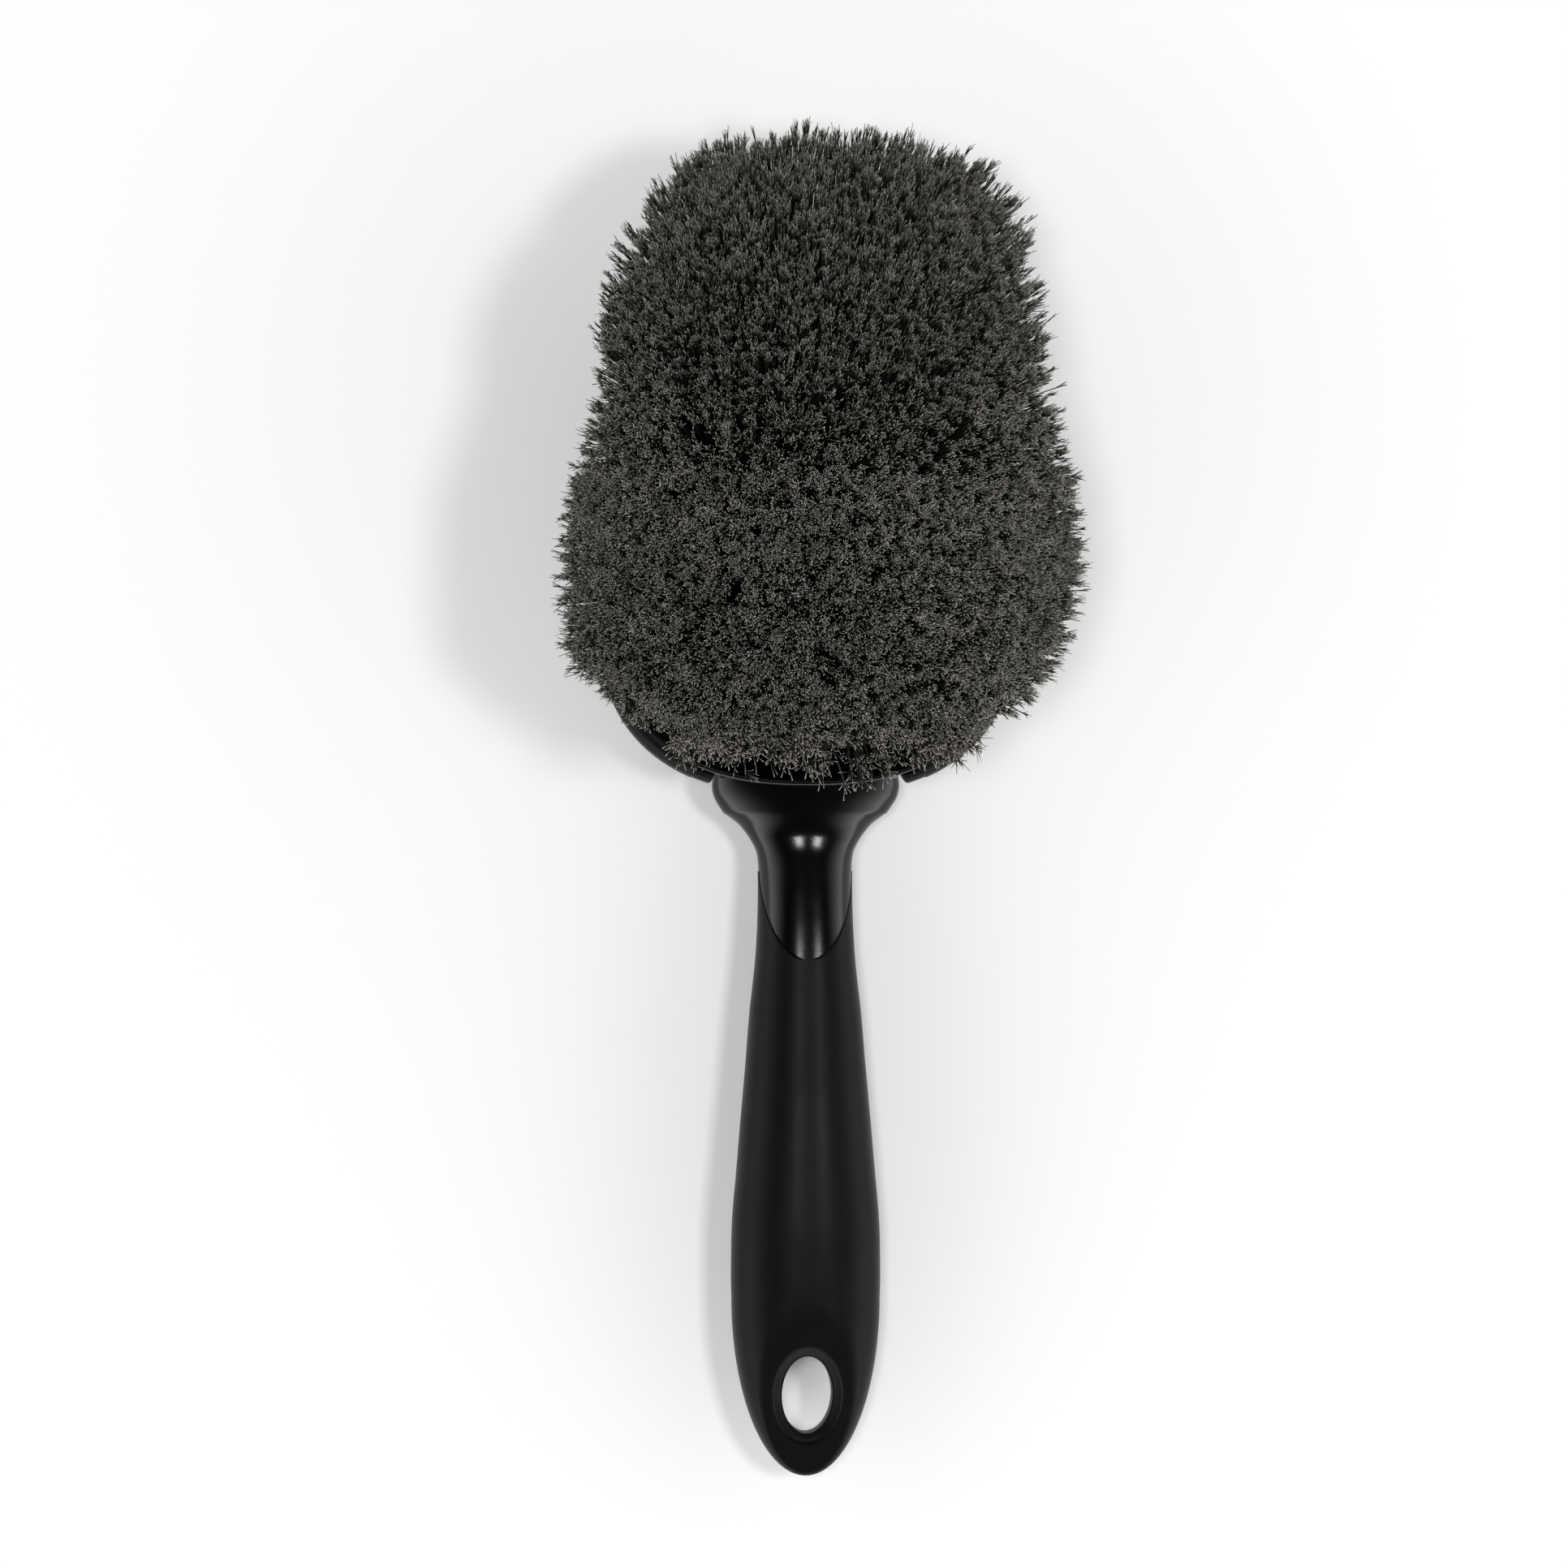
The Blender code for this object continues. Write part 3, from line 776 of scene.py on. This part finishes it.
def mesh_from_strands(name, groups):
    """One mesh from several groups of strands."""
    points, quads, caps, quad_uvs, cap_uvs = [], [], [], [], []
    offset = 0
    for group_points, group_quads, group_caps, quad_uv, cap_uv in groups:
        points.append(group_points)
        quads.append(group_quads + offset)
        caps.append(group_caps + offset)
        quad_uvs.append(quad_uv)
        cap_uvs.append(cap_uv)
        offset += len(group_points)
    points, quads, caps = np.concatenate(points), np.concatenate(quads), np.concatenate(caps)
    corners = np.concatenate((quads.ravel(), caps.ravel()))
    starts = np.concatenate((np.arange(len(quads)) * 4, len(quads) * 4 + np.arange(len(caps)) * 3))
    mesh = bpy.data.meshes.new(name)
    mesh.vertices.add(len(points))
    mesh.vertices.foreach_set("co", points.astype(np.float32).ravel())
    mesh.loops.add(len(corners))
    mesh.loops.foreach_set("vertex_index", corners.astype(np.int32))
    mesh.polygons.add(len(starts))
    mesh.polygons.foreach_set("loop_start", starts.astype(np.int32))
    uv_layer = mesh.uv_layers.new(name="OFBake")
    uvs = np.concatenate(quad_uvs + cap_uvs)
    uv_layer.uv.foreach_set("vector", uvs.astype(np.float32).ravel())
    mesh.update(calc_edges=True)
    mesh.validate()
    mesh.shade_smooth()
    return mesh


def tuft_strip(row, x):
    """The stretch of its row that a tuft fills, and how many filaments it has for that."""
    places = tuft_places(row)
    pitch = row_y(1) - row_y(0)
    edge = row_half_width(row) + TUFT_RADIUS
    low = -edge if x == places[0] else x - TUFT_PITCH / 2
    high = edge if x == places[-1] else x + TUFT_PITCH / 2
    turn_per_row = abs(float(lean_at(row_y(row + 0.5)) - lean_at(row_y(row - 0.5))))
    area = (1 + BRISTLE_LENGTH * math.radians(turn_per_row) / pitch) * (high - low) / TUFT_PITCH
    count = int(FILAMENTS_PER_TUFT * (1 + FAN_FILAMENTS * (area - 1)))
    if x in (places[0], places[-1]):
        count = int(count * EDGE_TUFT_FILL)
    return low, high, count


def tuft_roots(row, x, u, v):
    """Where filaments at u along the tuft's stretch, and v across it, root in the tuft's hole."""
    spread = TUFT_RADIUS * ROOT_SPREAD
    chord = np.sqrt(np.maximum(ROOT_LEAST_CHORD, 1 - (2 * u - 1) ** 2))
    root_x = x + spread * (2 * u - 1)
    root_y = row_y(row) + spread * 2 * v * chord
    return np.stack((root_x, root_y, block_face(root_y) - ROOT_DEPTH), axis=-1)


def tuft_layout(row, x, rng):
    """A tuft's roots and tips, and how far out past the heel's row each filament stands."""
    low, high, count = tuft_strip(row, x)
    v = rng.uniform(-0.5, 0.5, count) + rng.normal(0.0, ROW_SCATTER, count)
    u = rng.uniform(0.0, 1.0, count)
    if row == ROW_COUNT - 1:
        v = np.minimum(v, rng.uniform(0.0, LAST_ROW_STRAY, count))
    face_x = low + (high - low) * u + rng.normal(0.0, FACE_SCATTER, count)
    face_y = row_y(row + v)
    share = np.clip(face_x / (row_half_width(row) + TUFT_RADIUS), -1.0, 1.0)
    outward = np.clip(-2 * v, 0.0, OUTWARD_LIMIT) if row == 0 else np.zeros(count)
    drooping = DROOP_ELSEWHERE + np.exp(-(((face_x - DROOP_X) / DROOP_WIDTH) ** 2))
    lean = lean_at(face_y) - HEEL_FLARE * outward**2 * drooping
    lean = lean - TOE_CORNER_LEAN * share**2 * (1 - TOE_CORNER_SKEW * share) * np.maximum(0.0, lean)
    fan, side_lean = splay_at(face_y)
    heading = direction_of(lean, fan * share + side_lean)
    tilt = rng.normal(0.0, TUFT_LEAN, 3)
    heading = unit(heading + tilt + rng.normal(0.0, FILAMENT_LEAN, (count, 3)))
    length = BRISTLE_LENGTH + RIPPLE_HEIGHT * ripple(face_x, face_y)
    length = length + rng.normal(0.0, TUFT_LENGTH_SPREAD) + rng.normal(0.0, LENGTH_SPREAD, count)
    length = length - TOE_SHORTER * np.maximum(0.0, lean) / TOE_LEAN
    face = np.stack((face_x, face_y, block_face(face_y)), axis=-1)
    return tuft_roots(row, x, u, v), face + heading * length[:, None], outward


def clump(tips, strength, rng):
    """Draws the tips together in small clumps, which leaves dark gaps between them."""
    cells = max(1, int(len(tips) * CLUMP_SHARE))
    centres = tips[rng.choice(len(tips), cells, replace=False)]
    distance = np.linalg.norm(tips[:, None] - centres[None], axis=-1)
    nearest = distance.argmin(axis=1)
    pull = strength * rng.uniform(*CLUMP_PULL_RANGE, cells)[nearest]
    shift = rng.normal(0.0, CLUMP_SHIFT, (cells, 3))[nearest]
    near = np.exp(-((distance.min(axis=1) / CLUMP_SIZE) ** 2))
    return tips + (centres[nearest] - tips) * (pull * near)[:, None] + shift


def tip_tone_of(strands):
    """Where each strand ends on the ramp of tone: lower, as painted shade, for those that lean or fan far.
    """
    heading = unit(strands)
    toe_lean = np.degrees(np.arcsin(np.maximum(0.0, heading[:, 1])))
    side_lean = np.degrees(np.arcsin(np.abs(heading[:, 0])))
    side_painted_shade = (side_lean - PAINTED_SHADE_SIDE_LEANS[0]) / np.ptp(PAINTED_SHADE_SIDE_LEANS)
    # Painted shade: darker tips where strands lean to the toe or fan out to the sides.
    painted_shade = np.clip(np.maximum(toe_lean / PAINTED_SHADE_LEAN, side_painted_shade), 0.0, 1.0)
    return TIP_TONE + (PAINTED_SHADE_TIP_TONE - TIP_TONE) * painted_shade


def along_bend(roots, bend, tips, t):
    """Points at t along curves from the roots to the tips, drawn towards their bends."""
    return roots * (1 - t) ** 2 + 2 * bend * t * (1 - t) + tips * t**2


def shaft_lines(roots, bend, tips, split, rng):
    """The centre line of each filament, from its root to a little past its split."""
    t = np.linspace(0.0, 1.0, SHAFT_STEPS)[None, :] * (split + FLAG_OVERLAP)[:, None]
    t = t[..., None]
    line = along_bend(roots[:, None], bend[:, None], tips[:, None], t)
    return line + rng.normal(0.0, SHAFT_WAVE, (len(roots), 1, 3)) * np.sin(np.pi * t * SHAFT_WAVES)


def flag_lines(base, heading, flag_length, spread, wildness, rng):
    """The centre line of one curling flag on each filament."""
    count = len(base)
    own_heading = unit(heading + rng.normal(0.0, spread, (count, 3)) * wildness[:, None])
    own_length = flag_length * rng.uniform(*FLAG_LENGTH_RANGE, count)
    s = np.linspace(0.0, 1.0, FLAG_STEPS)[None, :, None]
    curl = rng.normal(0.0, FLAG_CURL, (count, 1, 3)) * wildness[:, None, None]
    twist = rng.normal(0.0, FLAG_CURL * FLAG_TWIST, (count, 1, 3)) * wildness[:, None, None]
    line = base[:, None] + own_heading[:, None] * own_length[:, None, None] * s
    return line + curl * s**2 + twist * np.sin(np.pi * 2 * s)


def tint_columns(outward, rng):
    """The tint of each filament. The upper half of the columns holds the warm ones."""
    count = len(outward)
    columns = rng.integers(0, TINT_COLUMNS // 2, count)
    warm = rng.uniform(0, 1, count) < WARM_SHARE + WARM_OUTWARD_SHARE * outward
    return columns + (TINT_COLUMNS // 2) * warm


def row_strands(row, rng):
    """The shafts and flags of one row."""
    lean = lean_at(row_y(row))
    fan, side_lean = splay_at([row_y(row)])[:, 0]
    toe_share = min(1.0, max(0.0, lean / PAINTED_SHADE_LEAN))
    clumping = CLUMP_PULL + (TOE_CLUMP_PULL - CLUMP_PULL) * toe_share
    flag_spread = FLAG_SPREAD + (TOE_FLAG_SPREAD - FLAG_SPREAD) * toe_share
    shafts, shaft_columns = [], []
    flags, flag_columns, tip_tones = [], [], []
    for x in tuft_places(row):
        roots, tips, outward = tuft_layout(row, x, rng)
        tips = clump(tips, clumping, rng)
        reach = np.linalg.norm(tips - roots, axis=-1)
        tuft_heading = direction_of(lean, fan * x / row_half_width(row) + side_lean)
        tuft_bend = roots + tuft_heading * (reach * BEND_PLACE)[:, None]
        own_bend = roots + (tips - roots) * BEND_PLACE
        bend = tuft_bend * (1 - BEND_STRAIGHTNESS) + own_bend * BEND_STRAIGHTNESS
        flag_length = rng.uniform(*FLAG_LENGTH, len(tips))
        split = 1 - flag_length / reach
        shafts.append(shaft_lines(roots, bend, tips, split, rng))
        columns = tint_columns(outward, rng)
        shaft_columns.append(columns)
        base = along_bend(roots, bend, tips, split[:, None])
        heading = unit(tips - base)
        wildness = 1 + OUTWARD_WILDNESS * outward
        tones = tip_tone_of(tips - roots)
        for _ in range(FLAGS_PER_FILAMENT):
            flags.append(flag_lines(base, heading, flag_length, flag_spread, wildness, rng))
            flag_columns.append(columns)
            tip_tones.append(tones)
    shafts, flags, tip_tones = np.concatenate(shafts), np.concatenate(flags), np.concatenate(tip_tones)
    shaft_columns, flag_columns = np.concatenate(shaft_columns), np.concatenate(flag_columns)
    shaft_radii = np.full(shafts.shape[:2], SHAFT_RADIUS)
    shaft_radii = shaft_radii * rng.uniform(*SHAFT_RADIUS_RANGE, (len(shafts), 1))
    flag_radii = FLAG_RADIUS * np.linspace(1.0, FLAG_TAPER, FLAG_STEPS)[None, :]
    flag_radii = flag_radii * rng.uniform(*FLAG_RADIUS_RANGE, (len(flags), 1))
    return [
        strand_group(shafts, shaft_radii, shaft_columns, (ROOT_TONE, FLAG_TONE), rng),
        strand_group(flags, flag_radii, flag_columns, (FLAG_TONE, tip_tones), rng),
    ]


def build_bristles(material):
    for row in range(ROW_COUNT):
        rng = np.random.default_rng(SEED + row)
        name = f"bristles_{row + 1:02d}"
        mesh = mesh_from_strands(name, row_strands(row, rng))
        mesh.materials.append(material)
        obj = bpy.data.objects.new(name, mesh)
        bpy.context.scene.collection.objects.link(obj)
        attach(obj, "root")
        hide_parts(f"bristle_row_{row + 1:02d}")


# ---- Materials ----

# Moulded surfaces vary by three noises: the tone's drift, the finish and the fine grain.
DRIFT_SCALE = 45.0
DRIFT_DETAIL = 4.0
DRIFT_RANGE = (0.35, 0.70)
FINISH_SCALE = 160.0
FINISH_DETAIL = 5.0
FINISH_RANGE = (0.30, 0.70)
GRAIN_DETAIL = 2.0
GRAIN_STRENGTH = 0.35

# The bristles' tints, as (value of a noise, colour).
TINTS = ((0.30, (0.130, 0.126, 0.107)), (0.50, (0.245, 0.237, 0.205)), (0.70, (0.420, 0.408, 0.360)))
WARM_TINTS = ((0.30, (0.210, 0.197, 0.170)), (0.50, (0.310, 0.290, 0.254)), (0.70, (0.440, 0.412, 0.366)))
SPECKLE_SCALE = 1.7             # for each tint column


def new_material(name, color, roughness, specular=0.5):
    material = bpy.data.materials.new(name)
    material.use_nodes = True
    shader = material.node_tree.nodes["Principled BSDF"]
    shader.inputs["Base Color"].default_value = (*color, 1.0)
    shader.inputs["Roughness"].default_value = roughness
    shader.inputs["Specular IOR Level"].default_value = specular
    return material, shader


def add_noise(material, scale, detail):
    nodes, links = material.node_tree.nodes, material.node_tree.links
    place = nodes.new("ShaderNodeTexCoord")
    noise = nodes.new("ShaderNodeTexNoise")
    noise.inputs["Scale"].default_value = scale
    noise.inputs["Detail"].default_value = detail
    links.new(place.outputs["Object"], noise.inputs["Vector"])
    return noise.outputs["Fac"]


def add_ramp(owner, value, stops):
    """A colour ramp in a material or world, over a value, from stops of (position, grey or colour)."""
    ramp = owner.node_tree.nodes.new("ShaderNodeValToRGB")
    elements = ramp.color_ramp.elements
    while len(elements) < len(stops):
        elements.new(0.5)
    for element, (position, color) in zip(elements, stops):
        element.position = position
        element.color = (*color, 1.0) if isinstance(color, tuple) else (color, color, color, 1.0)
    owner.node_tree.links.new(value, ramp.inputs["Fac"])
    return ramp.outputs["Color"]


def add_bump(material, shader, height, strength, distance):
    bump = material.node_tree.nodes.new("ShaderNodeBump")
    bump.inputs["Strength"].default_value = strength
    bump.inputs["Distance"].default_value = distance
    material.node_tree.links.new(height, bump.inputs["Height"])
    material.node_tree.links.new(bump.outputs["Normal"], shader.inputs["Normal"])


def moulded_plastic(name, colors, roughness, grain_scale, grain_depth):
    """Moulded plastic or rubber: a fine grain, with tone and roughness that drift a little."""
    material, shader = new_material(name, colors[0], roughness[0])
    links = material.node_tree.links
    drift = add_noise(material, DRIFT_SCALE, DRIFT_DETAIL)
    tone = add_ramp(material, drift, tuple(zip(DRIFT_RANGE, colors)))
    links.new(tone, shader.inputs["Base Color"])
    finish = add_noise(material, FINISH_SCALE, FINISH_DETAIL)
    gloss = add_ramp(material, finish, tuple(zip(FINISH_RANGE, roughness)))
    links.new(gloss, shader.inputs["Roughness"])
    grain = add_noise(material, grain_scale, GRAIN_DETAIL)
    add_bump(material, shader, grain, GRAIN_STRENGTH, grain_depth)
    return material, shader


def hard_plastic_material():
    material, shader = moulded_plastic(
        "black_plastic",
        colors=((0.0006, 0.0006, 0.0006), (0.0012, 0.0012, 0.0012)),
        roughness=(0.165, 0.195),
        grain_scale=2600.0,
        grain_depth=0.000035,
    )
    shader.inputs["Specular IOR Level"].default_value = 0.31
    return material


def rubber_material():
    material, shader = moulded_plastic(
        "black_rubber",
        colors=((0.0005, 0.0005, 0.0005), (0.0010, 0.0010, 0.0010)),
        roughness=(0.43, 0.48),
        grain_scale=3400.0,
        grain_depth=0.00003,
    )
    shader.inputs["Specular IOR Level"].default_value = 0.09
    shader.inputs["Coat Weight"].default_value = 0.03
    shader.inputs["Coat Roughness"].default_value = 0.28
    shader.inputs["Sheen Weight"].default_value = 0.05
    shader.inputs["Sheen Roughness"].default_value = 0.4
    return material


def block_material():
    material, _ = moulded_plastic(
        "block_plastic",
        colors=((0.0050, 0.0048, 0.0046), (0.0100, 0.0095, 0.0090)),
        roughness=(0.50, 0.65),
        grain_scale=1500.0,
        grain_depth=0.00004,
    )
    return material


def bristle_material():
    """Each tint column has its own tint. Along a strand, painted shade darkens the roots and deep parts,
    and the flagged tips are lighter.
    """
    material, shader = new_material("bristle_fibre", (0.1, 0.1, 0.1), roughness=0.58, specular=0.35)
    nodes, links = material.node_tree.nodes, material.node_tree.links
    place = nodes.new("ShaderNodeUVMap")
    place.uv_map = "OFBake"
    split = nodes.new("ShaderNodeSeparateXYZ")
    links.new(place.outputs["UV"], split.inputs["Vector"])
    speckle = nodes.new("ShaderNodeTexNoise")
    speckle.noise_dimensions = "1D"
    speckle.inputs["Scale"].default_value = TINT_COLUMNS * SPECKLE_SCALE
    speckle.inputs["Detail"].default_value = 1.0
    links.new(split.outputs["X"], speckle.inputs["W"])
    cool = add_ramp(material, speckle.outputs["Fac"], TINTS)
    warm = add_ramp(material, speckle.outputs["Fac"], WARM_TINTS)
    half = nodes.new("ShaderNodeMath")
    half.operation = "GREATER_THAN"
    half.inputs[1].default_value = 0.5
    links.new(split.outputs["X"], half.inputs[0])
    tint = nodes.new("ShaderNodeMix")
    tint.data_type = "RGBA"
    links.new(half.outputs["Value"], tint.inputs["Factor"])
    links.new(cool, tint.inputs["A"])
    links.new(warm, tint.inputs["B"])
    # Painted shade along the strand: dark roots and deep parts under the lighter flagged tips.
    along = add_ramp(material, split.outputs["Y"], TONE_AND_PAINTED_SHADE_ALONG)
    shade = nodes.new("ShaderNodeMix")
    shade.data_type = "RGBA"
    shade.blend_type = "MULTIPLY"
    shade.inputs["Factor"].default_value = 1.0
    links.new(tint.outputs["Result"], shade.inputs["A"])
    links.new(along, shade.inputs["B"])
    links.new(shade.outputs["Result"], shader.inputs["Base Color"])
    return material


# ---- The studio ----

CAMERA_DISTANCE = 1.2
CAMERA_LEAN = 4.0               # how far the camera stands to the left of straight above
TARGET = Vector((-0.0050, -0.0623, 0.0150))
FRAME_WIDTH = 0.34776           # what the picture shows at the target's height
SENSOR_WIDTH = 36.0
SOFTBOX_ANGLE = 15.0            # to each side of their middle
SOFTBOX_MIDDLE = 6.0            # how far the pair stands to the right of straight above
SOFTBOX_SIZE = (0.24, 0.26)
SOFTBOX_DISTANCE = 1.45
SOFTBOX_RADIANCE = 30.0
HORIZON_RADIANCE = 2.35
WALL_TILT = -0.35               # how much brighter the walls are towards the toe; negative is darker
# The room's brightness, as (sine of the height above the horizon, brightness).
ROOM_STOPS = ((0.0, 1.5), (0.20, 1.2), (0.36, 0.82), (0.60, 0.20), (0.72, 0.01), (1.0, 0.0))
FLOOR_HALF_SIZE = 3.0
FLOOR_HEIGHT = -0.0002
FLOOR_ALBEDO = 0.92
FLOOR_ROUGHNESS = 0.9


def add_camera():
    data = bpy.data.cameras.new("camera")
    data.sensor_width = SENSOR_WIDTH
    data.lens = SENSOR_WIDTH * CAMERA_DISTANCE / FRAME_WIDTH
    camera = bpy.data.objects.new("camera", data)
    bpy.context.scene.collection.objects.link(camera)
    lean = math.radians(CAMERA_LEAN)
    camera.location = TARGET + Vector((-math.sin(lean), 0.0, math.cos(lean))) * CAMERA_DISTANCE
    camera.rotation_euler = (0.0, -lean, 0.0)
    bpy.context.scene.camera = camera


def add_softboxes():
    for side in (-1, 1):
        angle = math.radians(SOFTBOX_MIDDLE + side * SOFTBOX_ANGLE)
        data = bpy.data.lights.new("softbox", "AREA")
        data.shape = "RECTANGLE"
        data.size, data.size_y = SOFTBOX_SIZE
        data.energy = SOFTBOX_RADIANCE * math.pi * SOFTBOX_SIZE[0] * SOFTBOX_SIZE[1]
        light = bpy.data.objects.new("softbox", data)
        light.location = TARGET + Vector((math.sin(angle), 0.0, math.cos(angle))) * SOFTBOX_DISTANCE
        light.rotation_euler = (0.0, angle, 0.0)
        bpy.context.scene.collection.objects.link(light)


def add_world():
    """A dark ceiling over bright walls."""
    world = bpy.data.worlds.new("studio")
    world.use_nodes = True
    nodes, links = world.node_tree.nodes, world.node_tree.links
    place = nodes.new("ShaderNodeTexCoord")
    split = nodes.new("ShaderNodeSeparateXYZ")
    links.new(place.outputs["Generated"], split.inputs["Vector"])
    room = add_ramp(world, split.outputs["Z"], ROOM_STOPS)
    tilt = nodes.new("ShaderNodeMath")
    tilt.operation = "MULTIPLY_ADD"
    tilt.inputs[1].default_value = HORIZON_RADIANCE * WALL_TILT
    tilt.inputs[2].default_value = HORIZON_RADIANCE
    links.new(split.outputs["Y"], tilt.inputs[0])
    background = nodes["Background"]
    links.new(tilt.outputs["Value"], background.inputs["Strength"])
    links.new(room, background.inputs["Color"])
    bpy.context.scene.world = world


def add_floor():
    bm = bmesh.new()
    bmesh.ops.create_grid(bm, x_segments=1, y_segments=1, size=FLOOR_HALF_SIZE)
    for vert in bm.verts:
        vert.co.z = FLOOR_HEIGHT
    material, _ = new_material("floor", (FLOOR_ALBEDO,) * 3, FLOOR_ROUGHNESS, specular=0.0)
    add_object("floor", bm, material)


# ---- Main ----

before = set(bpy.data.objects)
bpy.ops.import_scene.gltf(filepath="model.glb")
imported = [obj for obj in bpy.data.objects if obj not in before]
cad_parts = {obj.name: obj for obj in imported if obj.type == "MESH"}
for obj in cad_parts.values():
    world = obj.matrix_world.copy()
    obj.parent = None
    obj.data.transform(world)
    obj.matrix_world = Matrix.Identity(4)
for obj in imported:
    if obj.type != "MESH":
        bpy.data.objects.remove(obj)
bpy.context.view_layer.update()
bpy.context.scene.view_settings.view_transform = "Standard"

add_camera()
add_world()
add_softboxes()
add_floor()

rubber = rubber_material()
build_core(hard_plastic_material())
build_grip(rubber)
build_bumper(rubber)
dress_block(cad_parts["tuft_block"])
build_bristles(bristle_material())
